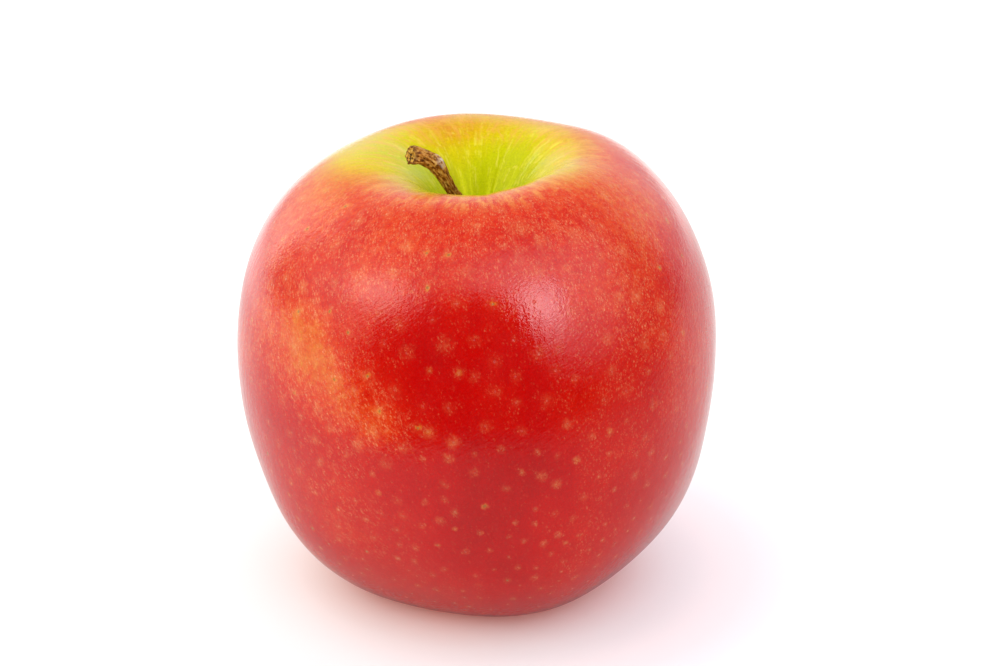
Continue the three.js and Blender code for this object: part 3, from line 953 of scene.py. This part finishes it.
def make_base():
    """The dried bottom of the flower, a low dome that the sepals and stamens stand on."""
    draw = np.random.default_rng(40)
    share = np.linspace(0, 1, BASE_ROWS)[:, None]
    around = round_angles(BASE_COLUMNS)[None, :]
    r = EYE_RADIUS * np.sin(share * np.pi * 0.96 + 0.06)
    z = EYE_FLOOR + BASE_DOME * fade(BASE_DOME_SPAN, share) + 0.15 * share
    waves = [np.cos(draw.integers(1, 9) * around + draw.uniform(-20, 20) * share
                    + draw.uniform(0, 6)) for _ in range(BASE_WAVES)]
    rough = BASE_ROUGH * sum(waves) / 3
    ring = round_axis(around, r, z + rough * (r > 0.3))
    points = np.vstack([ring.reshape(-1, 3), ring[0].mean(0), ring[-1].mean(0)])
    return points, closed_faces(BASE_ROWS, BASE_COLUMNS)


def tube(line, radii, sides):
    """A closed tube of points and faces along a line."""
    ahead = unit(np.gradient(line, axis=0))
    helper = (1.0, 0, 0) if abs(ahead[0, 0]) < 0.8 else (0, 1.0, 0)
    across = unit(np.cross(ahead, helper))
    up = np.cross(ahead, across)
    around = round_angles(sides)[None, :, None]
    ring = line[:, None] + radii[:, None, None] * (
        across[:, None] * np.cos(around) - up[:, None] * np.sin(around))
    points = np.vstack([ring.reshape(-1, 3), line[:1], line[-1:]])
    return points, closed_faces(len(line), sides)


def make_stamens():
    """The dry stamens, each a wavy thread with a swollen end, as (points, faces)."""
    draw = np.random.default_rng(60)
    t = np.linspace(0, 1, STAMEN_ROWS)
    anther = np.exp(-((t - ANTHER_AT) / ANTHER_SPREAD) ** 2)
    radii = STAMEN_RADIUS * (1 - 0.3 * t) + (ANTHER_RADIUS - STAMEN_RADIUS) * anther
    parts = []
    for k in range(STAMENS):
        turn = 2 * np.pi * k / STAMENS + draw.uniform(-STAMEN_TURN_SPREAD, STAMEN_TURN_SPREAD)
        start = draw.uniform(*STAMEN_START)
        length = draw.uniform(*STAMEN_LENGTH)
        lean = draw.uniform(*STAMEN_LEAN)
        r = start + lean * t + STAMEN_WAVES[0] * np.sin(7 * t + draw.uniform(0, 6))
        aside = STAMEN_WAVES[1] * np.sin(5 * t + draw.uniform(0, 6))
        line = round_axis(turn, r, EYE_FLOOR + STAMEN_LIFT - length * t, aside)
        parts.append(tube(line, radii, STAMEN_SIDES))
    return joined(parts)


def make_calyx(leaf, thread):
    sepals, grain = make_sepals()
    base = make_base()
    piece = make_object("calyx_sepals", *joined([sepals, base]), "sepals", leaf)
    store(piece.data, "grain", np.vstack([grain, base[0]]))
    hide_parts("calyx")
    make_object("calyx_stamens", *make_stamens(), "sepals", thread)


SEPAL_RAMP = (
    (0.0, (0.045, 0.024, 0.012)), (0.45, (0.15, 0.09, 0.045)), (1.0, (0.33, 0.24, 0.14)),
)
SEPAL_PATCH_COLOUR = (0.3, 0.27, 0.2, 1)
STAMEN_RAMP = ((0.3, (0.035, 0.018, 0.01)), (0.7, (0.21, 0.13, 0.07)))


def sepal_material():
    look = new_look("sepals")
    place = look.place()
    veins = look.noise(look.vector("grain"), 0.35, 4, 0.6, (1, 0.25, 1))
    patch = look.scaled(look.noise(place, 1.6, 3), 0.42, 0.66, 0, 0.6)
    colour = look.mix(patch, look.ramp(look.scaled(veins, 0.3, 0.7), SEPAL_RAMP),
                      SEPAL_PATCH_COLOUR)
    normal = look.bump(veins, 0.12, 0.9)
    normal = look.bump(look.noise(place, 0.18, 3), 0.05, 0.9, normal)
    return glossy(look, Base_Color=colour, Roughness=0.88, Normal=normal,
                  Sheen_Weight=0.35, Sheen_Roughness=0.5)


def stamen_material():
    look = new_look("stamens")
    mottle = look.noise(look.place(), 0.35, 3)
    return glossy(look, Base_Color=look.ramp(mottle, STAMEN_RAMP), Roughness=0.85,
                  Normal=look.bump(mottle, 0.04))


# ---- The table ----

FLOOR_REACH = 3.0
FLOOR_DROP = 0.02 * MM  # keeps the floor from lying in the fruit's foot
# The table's colour at mm from the axis, with painted light and shade in it: the red that the
# fruit throws round its foot is painted there, a painted lighter ring lies where the studio's
# light comes in under the belly, and a painted pinkish shade lies further out.
FLOOR_PAINTED_LIGHT_AND_SHADE = (
    (18, (0.92, 0.79, 0.71)), (21, (0.89, 0.87, 0.84)), (24, (0.89, 0.94, 0.935)),
    (27, (0.89, 0.96, 0.965)), (31, (0.89, 0.94, 0.955)), (36, (0.88, 0.885, 0.905)),
    (40, (0.87, 0.85, 0.87)), (45, (0.855, 0.8, 0.825)), (50, (0.84, 0.79, 0.82)),
    (57, (0.84, 0.81, 0.83)), (66, (0.86, 0.86, 0.86)),
)
# Painted light: the floor glows red round the fruit's foot, a painted bounce of the fruit's red.
PAINTED_GLOW_SPAN, PAINTED_GLOW_COLOUR = (37, 21, 0, 0.8), (0.19, 0.045, 0.03, 1)
# A dark flag that only reflections see, a painted dark reflection, lies on the floor in front of
# the
# fruit: its far edge.
FLAG_EDGE = (
    (-2.6, -1.1), (-0.297, -0.15), (-0.165, -0.095), (-0.119, -0.078), (-0.09, -0.08),
    (-0.068, -0.088), (-0.05, -0.104), (-0.032, -0.124), (0.01, -0.138), (0.043, -0.143),
    (0.119, -0.137), (0.182, -0.14), (0.4, -0.29), (2.6, -1.7),
)
FLAG_NEAR = -3.0
FLAG_LIFT, CARD_LIFT = 0.2 * MM, 0.1 * MM
# A painted reflection: reflections see the floor as a grey card, with painted shade that makes it
# darker in front and to the right.
CARD_ALONG = (-0.45, 1, 0)
CARD_SPAN = (-0.16, 0.3)
CARD_PAINTED_SHADE_GREYS = (  # share of the span, and the grey there
    (0.0, 0.15), (0.03, 0.3), (0.12, 0.38), (0.32, 0.68), (0.8, 0.68), (0.93, 0.95),
)


def make_sheet(name, corners, material):
    sheet = add_mesh(name, corners, [tuple(range(len(corners)))], material)
    return sheet


def make_square(name, height, material):
    corners = [(x * FLOOR_REACH, y * FLOOR_REACH, height)
               for x, y in ((-1, -1), (1, -1), (1, 1), (-1, 1))]
    return make_sheet(name, corners, material)


def floor_material():
    look = new_look("floor")
    from_axis = look.length(look.place())
    near, far = FLOOR_PAINTED_LIGHT_AND_SHADE[0][0], FLOOR_PAINTED_LIGHT_AND_SHADE[-1][0]
    # The floor's colour carries painted shade and a painted red bounce of light round the fruit.
    white = look.ramp(look.scaled(from_axis, near, far, 0, 1, "LINEAR"),
                      [((at - near) / (far - near), tint) for at, tint in FLOOR_PAINTED_LIGHT_AND_SHADE])
    # Painted glow: the floor's emission paints the fruit's red bounce light round its foot.
    painted_glow = look.scaled(from_axis, *PAINTED_GLOW_SPAN)
    return glossy(look, Base_Color=white, Roughness=0.9, Specular_IOR_Level=0.2,
                  Emission_Color=PAINTED_GLOW_COLOUR, Emission_Strength=painted_glow)


# The card's greys are a painted reflection of the floor, with painted shade in front and to the
# right.
def card_material():
    look = new_look("card")
    along = look.along(look.place(), CARD_ALONG)
    share = look.scaled(along, CARD_SPAN[0] / MM, CARD_SPAN[1] / MM, 0, 1, "LINEAR")
    return matt(look, look.levels(share, CARD_PAINTED_SHADE_GREYS))


def make_table():
    """The floor, and the card and the flag: painted reflections that reflections see in its place.
    """
    make_square("floor", -FLOOR_DROP, floor_material())
    edge = [(x, FLAG_NEAR, FLAG_LIFT) for x in (FLAG_EDGE[0][0], FLAG_EDGE[-1][0])]
    edge += [(x, y, FLAG_LIFT) for x, y in reversed(FLAG_EDGE)]
    for sheet in (make_square("card", CARD_LIFT, card_material()),
                  make_sheet("flag", edge, matt(new_look("flag"), (0, 0, 0, 1)))):
        sheet.visible_camera = False
        sheet.visible_diffuse = False
        sheet.visible_shadow = False


# ---- The tent and the lamp ----

TENT_LIGHT = (1.88, 1.46)  # what lights the scene, on the left and on the right
# What the gloss mirrors of the tent: dark opening, walls, top and soft lamps.
OPENING = (  # azimuth in degrees and the height of the dark opening's top there
    (-64, 0), (-60, 12), (-55, 21), (-46, 26), (-39, 36), (-30, 45), (-14, 51), (0, 51),
    (10, 49), (15, 48), (20, 43), (22, 34), (25, 26), (29, 15), (33, 6), (36, 0),
)
WALLS = (  # azimuth in degrees and the light of the tent's wall there
    (-180, 0.9), (-150, 1.2), (-142, 1.8), (-136, 2.7), (-129, 2.7), (-126, 0.5), (-64, 0.45),
    (36, 0.15), (60, 0.28), (118, 0.3), (124, 1.1), (150, 1.1), (180, 0.9),
)
BRIGHTEST_WALL = 3.0
SKY_LIGHT = 0.45
SKY_FROM = (26, 48)  # height over which the walls pass into the top of the tent
SOFT_LAMPS = (  # azimuth and height in degrees, inner and outer radius, light
    (31.5, 43, 5, 16, 6.2), (34, 28, 2, 15, 3.6), (47, 42, 8, 48, 1.8), (-67, 38, 2, 19, 3.6),
    (-82, 34, 8, 40, 1.4), (-8, 70, 4, 24, 1.1),
)
LEFT_LIGHT = (1.0, 0.96, 0.88, 1)
RIGHT_LIGHT = (0.95, 0.93, 1.0, 1)
LEFT_TO_RIGHT = (-0.7, 0.7)
LIT_SPAN = (-1.0, 1.5)  # degrees over the opening's top
CAMERA_WHITE = 1.3
ZENITH = 90.0


def toward(azimuth, height):
    azimuth, height = math.radians(azimuth), math.radians(height)
    return Vector((math.cos(height) * math.sin(azimuth), -math.cos(height) * math.cos(azimuth),
                   math.sin(height)))


def over_azimuth(values, largest):
    """Stops up to 1 round the whole horizon, from (azimuth in degrees, value)."""
    return [((at + 180) / 360, value / largest) for at, value in values]


def make_world():
    """A light tent with a dark opening on the camera's side. The camera itself sees white."""
    world = bpy.data.worlds.new("tent")
    bpy.context.scene.world = world
    world.use_nodes = True
    look = Look(world.node_tree)
    direction = look.node("ShaderNodeTexCoord").outputs["Generated"]
    x, y, z = look.node("ShaderNodeSeparateXYZ", {0: direction}).outputs
    azimuth = look.math("ARCTAN2", x, look.times(y, -1.0))
    azimuth = look.times(azimuth, 180 / math.pi)
    height = look.times(look.math("ARCSINE", z), 180 / math.pi)

    share = look.scaled(azimuth, -180, 180, 0, 1, "LINEAR")
    top = look.times(look.levels(share, over_azimuth(OPENING, ZENITH)), ZENITH)
    wall = look.times(look.levels(share, over_azimuth(WALLS, BRIGHTEST_WALL)), BRIGHTEST_WALL)
    sky = look.scaled(height, *SKY_FROM)
    light = look.plus(look.times(sky, SKY_LIGHT),
                      look.times(wall, look.math("SUBTRACT", 1.0, sky)))
    for at, high, inner, outer, radiance in SOFT_LAMPS:
        near, far = math.cos(math.radians(inner)), math.cos(math.radians(outer))
        lamp = look.scaled(look.along(direction, toward(at, high)), far, near, 0, radiance)
        light = look.plus(light, lamp)
    light = look.times(light, look.scaled(look.math("SUBTRACT", height, top), *LIT_SPAN))
    ray = look.node("ShaderNodeLightPath").outputs
    plain = look.math("MAXIMUM", look.scaled(x, *LEFT_TO_RIGHT, *TENT_LIGHT),
                      look.times(ray["Is Camera Ray"], CAMERA_WHITE))
    strength = look.node("ShaderNodeMix", {0: ray["Is Glossy Ray"], 2: plain, 3: light})
    colour = look.mix(look.scaled(x, *LEFT_TO_RIGHT), LEFT_LIGHT, RIGHT_LIGHT)
    background = look.node("ShaderNodeBackground",
                           {"Color": colour, "Strength": strength.outputs[0]})
    look.node("ShaderNodeOutputWorld", {"Surface": background.outputs[0]})


OVERHEAD_SIZE = 0.9
OVERHEAD_AT = Vector((-0.15, 0.1, 1.1))
OVERHEAD_WATTS = 2.0


def make_overhead():
    """A soft lamp over the table that isn't seen in the gloss of the skin."""
    data = bpy.data.lights.new("overhead", "AREA")
    data.shape = "DISK"
    data.size = OVERHEAD_SIZE
    data.energy = OVERHEAD_WATTS
    lamp = bpy.data.objects.new("overhead", data)
    lamp.location = OVERHEAD_AT
    lamp.rotation_euler = (-OVERHEAD_AT).to_track_quat("-Z", "Y").to_euler()
    lamp.visible_glossy = False
    bpy.context.scene.collection.objects.link(lamp)


# ---- The scene ----

make_fruit(skin_material())
make_stem(bark_material())
make_calyx(sepal_material(), stamen_material())
make_table()
make_world()
make_overhead()
make_camera()
bpy.context.scene.view_settings.view_transform = "Standard"
bpy.context.scene.view_settings.look = "None"
